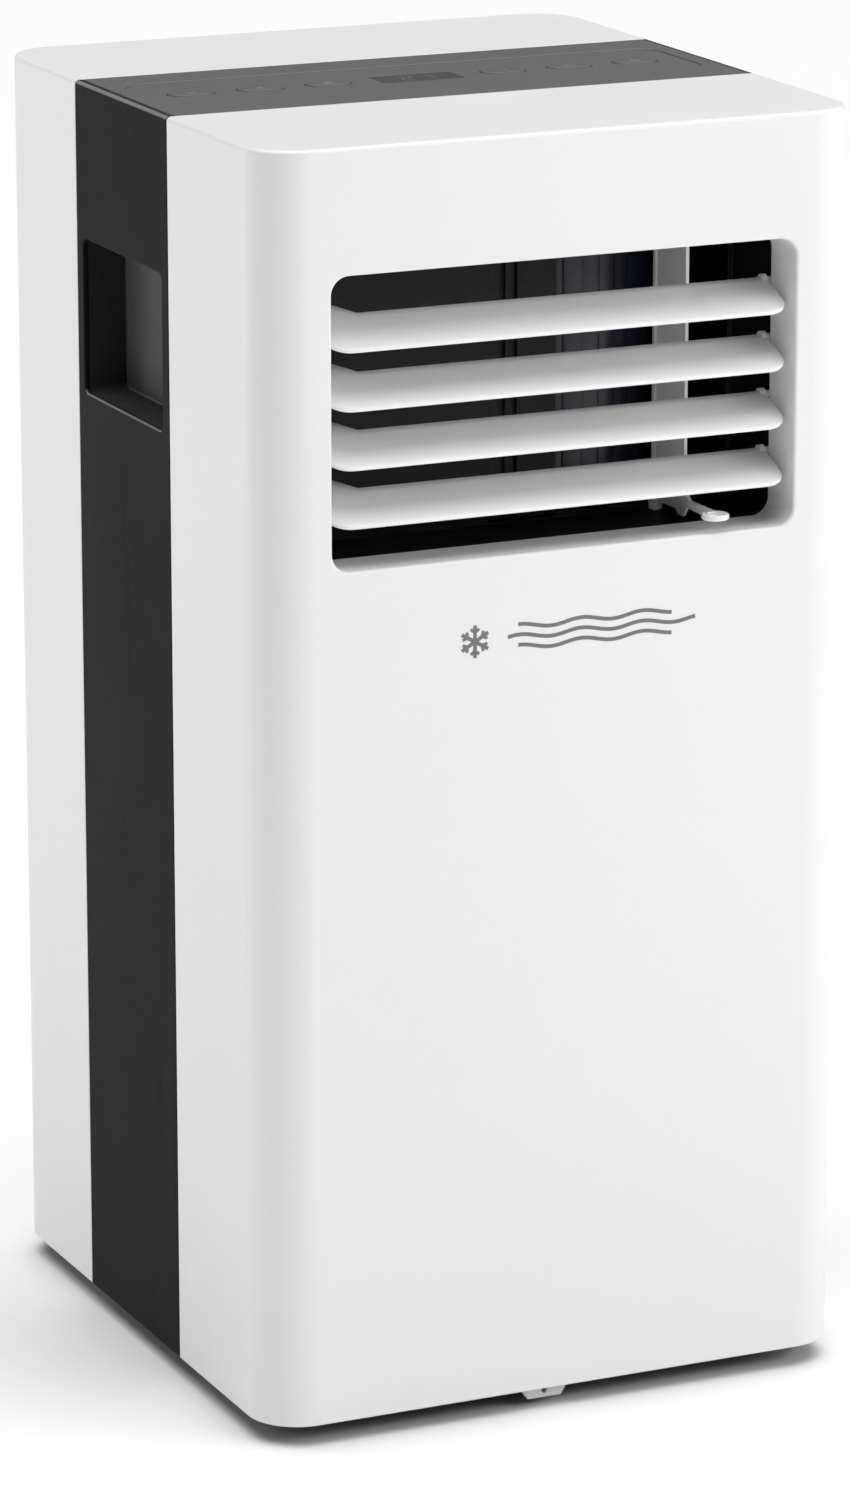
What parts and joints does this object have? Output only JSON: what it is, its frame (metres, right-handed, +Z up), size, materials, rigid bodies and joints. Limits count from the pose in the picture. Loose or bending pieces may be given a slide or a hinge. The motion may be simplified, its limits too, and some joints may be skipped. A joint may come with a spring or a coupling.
{
  "type": "portable air conditioner",
  "caption": "Upright room air conditioner with a louvred front outlet, side grips, rear intakes, a rear hose socket and hidden castors.",
  "frame": {"origin": "centre of the unit's footprint, on the floor", "axes": "+Z up along the case, -Y towards the louvred front, +X to the right seen from the front"},
  "size_m": [0.346, 0.38, 0.702],
  "materials": {
    "white_shell": "satin moulded ABS, white",
    "white_blade": "satin moulded ABS, white, brighter along the edges",
    "black_shell": "fine-grained moulded ABS, near black",
    "grey_top": "fine-grained moulded ABS, dark grey",
    "black_inner": "moulded polypropylene, near black",
    "grey_plastic": "moulded plastic, mid grey",
    "wheel_plastic": "moulded glass-filled plastic, blue grey",
    "tray_plastic": "moulded polystyrene, light grey",
    "key_plastic": "moulded keys, grey",
    "smoked_window": "smoked acrylic",
    "rubber": "moulded rubber",
    "castor_tread": "grey hard rubber tread",
    "fin_aluminium": "thin aluminium fins, blue coating",
    "bare_aluminium": "thin aluminium fins, bare",
    "copper": "drawn copper tube",
    "motor_steel": "zinc-plated pressed steel",
    "screw_steel": "zinc-plated screws",
    "compressor_paint": "black enamelled steel shell",
    "circuit_board": "glass-epoxy board, green",
    "filter_mesh": "nylon mesh in a dark frame",
    "float_foam": "closed-cell float, orange"
  },
  "bodies": {
    "cabinet": {"front_panel": "white_shell", "rear_housing": "white_shell", "side_panel_left": "black_shell", "side_panel_right": "black_shell", "top_panel": "grey_top", "control_fascia": "grey_top", "display_window": "smoked_window", "control_board": "circuit_board", "base_pan": "black_inner", "front_tab": "tray_plastic", "outlet_duct": "black_inner", "blower_scroll": "black_inner", "blower_motor": "motor_steel", "evaporator_fins": "fin_aluminium", "evaporator_tubes": "copper", "drip_tray": "tray_plastic", "condenser_fins": "bare_aluminium", "condenser_tubes": "copper", "exhaust_scroll": "black_inner", "exhaust_motor": "motor_steel", "exhaust_collar": "black_inner", "compressor": "compressor_paint", "compressor_grommets": "rubber", "refrigerant_pipes": "copper", "filter_drier": "copper", "electric_box": "tray_plastic", "run_capacitor": "bare_aluminium", "main_board": "circuit_board", "slinger_motor": "motor_steel", "cable_gland": "rubber", "case_screws": "screw_steel"},
    "louvre_1": {"louvre_1": "white_blade"},
    "louvre_2": {"louvre_2": "white_blade"},
    "louvre_3": {"louvre_3": "white_blade"},
    "louvre_4": {"louvre_4": "white_blade"},
    "louvre_link": {"louvre_link": "grey_plastic"},
    "air_vane": {"air_vane": "white_blade"},
    "blower_wheel": {"blower_wheel": "wheel_plastic"},
    "exhaust_wheel": {"exhaust_wheel": "wheel_plastic"},
    "slinger_wheel": {"slinger_wheel": "tray_plastic"},
    "float_arm": {"float_arm": "float_foam"},
    "key_power": {"key_power": "key_plastic"},
    "key_mode": {"key_mode": "key_plastic"},
    "key_fan": {"key_fan": "key_plastic"},
    "key_down": {"key_down": "key_plastic"},
    "key_up": {"key_up": "key_plastic"},
    "key_timer": {"key_timer": "key_plastic"},
    "castor_fork_fl": {"castor_fork_fl": "grey_plastic"},
    "castor_wheel_fl": {"castor_wheel_fl": "castor_tread"},
    "castor_fork_fr": {"castor_fork_fr": "grey_plastic"},
    "castor_wheel_fr": {"castor_wheel_fr": "castor_tread"},
    "castor_fork_rl": {"castor_fork_rl": "grey_plastic"},
    "castor_wheel_rl": {"castor_wheel_rl": "castor_tread"},
    "castor_fork_rr": {"castor_fork_rr": "grey_plastic"},
    "castor_wheel_rr": {"castor_wheel_rr": "castor_tread"},
    "upper_grille": {"upper_grille": "white_shell", "upper_filter": "filter_mesh"},
    "lower_grille": {"lower_grille": "white_shell"},
    "upper_drain_plug": {"upper_drain_plug": "rubber"},
    "lower_drain_plug": {"lower_drain_plug": "rubber"}
  },
  "joints": [
    {"name": "louvre_1_tilt", "type": "hinge", "parent": "cabinet", "child": "louvre_1", "pos_m": [0, -0.1523, 0.60715], "axis": [1, 0, 0], "range_deg": [-38, 15]},
    {"name": "louvre_2_tilt", "type": "hinge", "parent": "cabinet", "child": "louvre_2", "pos_m": [0, -0.1523, 0.57615], "axis": [1, 0, 0], "range_deg": [-38, 15]},
    {"name": "louvre_3_tilt", "type": "hinge", "parent": "cabinet", "child": "louvre_3", "pos_m": [0, -0.1523, 0.54515], "axis": [1, 0, 0], "range_deg": [-38, 15]},
    {"name": "louvre_4_tilt", "type": "hinge", "parent": "cabinet", "child": "louvre_4", "pos_m": [0, -0.1523, 0.51415], "axis": [1, 0, 0], "range_deg": [-38, 15]},
    {"name": "louvre_link_pin", "type": "hinge", "parent": "louvre_1", "child": "louvre_link", "pos_m": [-0.129, -0.14303, 0.61089], "axis": [1, 0, 0], "range_deg": [-15, 38]},
    {"name": "air_vane_turn", "type": "hinge", "parent": "cabinet", "child": "air_vane", "pos_m": [0.089, -0.1115, 0.48], "axis": [0, 0, 1], "range_deg": [-24, 24]},
    {"name": "blower_spin", "type": "hinge", "parent": "cabinet", "child": "blower_wheel", "pos_m": [0.045, -0.022, 0.5], "axis": [0, 0, 1], "continuous": true},
    {"name": "exhaust_spin", "type": "hinge", "parent": "cabinet", "child": "exhaust_wheel", "pos_m": [0.02, 0.09, 0.15], "axis": [0, 1, 0], "continuous": true},
    {"name": "slinger_spin", "type": "hinge", "parent": "cabinet", "child": "slinger_wheel", "pos_m": [-0.045, 0.13, 0.042], "axis": [0, 1, 0], "continuous": true},
    {"name": "float_lift", "type": "hinge", "parent": "cabinet", "child": "float_arm", "pos_m": [0.045, 0.152, 0.044], "axis": [1, 0, 0], "range_deg": [-28, 0]},
    {"name": "key_power_press", "type": "slide", "parent": "cabinet", "child": "key_power", "axis": [0, 0, -1], "range_m": [0, 0.0008], "stiffness_N_per_m": 400},
    {"name": "key_mode_press", "type": "slide", "parent": "cabinet", "child": "key_mode", "axis": [0, 0, -1], "range_m": [0, 0.0008], "stiffness_N_per_m": 400},
    {"name": "key_fan_press", "type": "slide", "parent": "cabinet", "child": "key_fan", "axis": [0, 0, -1], "range_m": [0, 0.0008], "stiffness_N_per_m": 400},
    {"name": "key_down_press", "type": "slide", "parent": "cabinet", "child": "key_down", "axis": [0, 0, -1], "range_m": [0, 0.0008], "stiffness_N_per_m": 400},
    {"name": "key_up_press", "type": "slide", "parent": "cabinet", "child": "key_up", "axis": [0, 0, -1], "range_m": [0, 0.0008], "stiffness_N_per_m": 400},
    {"name": "key_timer_press", "type": "slide", "parent": "cabinet", "child": "key_timer", "axis": [0, 0, -1], "range_m": [0, 0.0008], "stiffness_N_per_m": 400},
    {"name": "castor_fl_swivel", "type": "hinge", "parent": "cabinet", "child": "castor_fork_fl", "pos_m": [-0.128, -0.14, 0.045], "axis": [0, 0, 1], "continuous": true},
    {"name": "castor_fl_roll", "type": "hinge", "parent": "castor_fork_fl", "child": "castor_wheel_fl", "pos_m": [-0.128, -0.128, 0.017], "axis": [1, 0, 0], "continuous": true},
    {"name": "castor_fr_swivel", "type": "hinge", "parent": "cabinet", "child": "castor_fork_fr", "pos_m": [0.128, -0.14, 0.045], "axis": [0, 0, 1], "continuous": true},
    {"name": "castor_fr_roll", "type": "hinge", "parent": "castor_fork_fr", "child": "castor_wheel_fr", "pos_m": [0.128, -0.128, 0.017], "axis": [1, 0, 0], "continuous": true},
    {"name": "castor_rl_swivel", "type": "hinge", "parent": "cabinet", "child": "castor_fork_rl", "pos_m": [-0.128, 0.14, 0.045], "axis": [0, 0, 1], "continuous": true},
    {"name": "castor_rl_roll", "type": "hinge", "parent": "castor_fork_rl", "child": "castor_wheel_rl", "pos_m": [-0.128, 0.152, 0.017], "axis": [1, 0, 0], "continuous": true},
    {"name": "castor_rr_swivel", "type": "hinge", "parent": "cabinet", "child": "castor_fork_rr", "pos_m": [0.128, 0.14, 0.045], "axis": [0, 0, 1], "continuous": true},
    {"name": "castor_rr_roll", "type": "hinge", "parent": "castor_fork_rr", "child": "castor_wheel_rr", "pos_m": [0.128, 0.152, 0.017], "axis": [1, 0, 0], "continuous": true},
    {"name": "upper_grille_out", "type": "slide", "parent": "cabinet", "child": "upper_grille", "axis": [0, 1, 0], "range_m": [0, 0.06]},
    {"name": "lower_grille_out", "type": "slide", "parent": "cabinet", "child": "lower_grille", "axis": [0, 1, 0], "range_m": [0, 0.06]},
    {"name": "upper_drain_plug_out", "type": "slide", "parent": "cabinet", "child": "upper_drain_plug", "axis": [0, 1, 0], "range_m": [0, 0.02]},
    {"name": "lower_drain_plug_out", "type": "slide", "parent": "cabinet", "child": "lower_drain_plug", "axis": [0, 1, 0], "range_m": [0, 0.02]}
  ],
  "couplings": [
    {"joint": "louvre_2_tilt", "follows": "louvre_1_tilt", "ratio": 1},
    {"joint": "louvre_3_tilt", "follows": "louvre_1_tilt", "ratio": 1},
    {"joint": "louvre_4_tilt", "follows": "louvre_1_tilt", "ratio": 1},
    {"joint": "louvre_link_pin", "follows": "louvre_1_tilt", "ratio": -1}
  ]
}
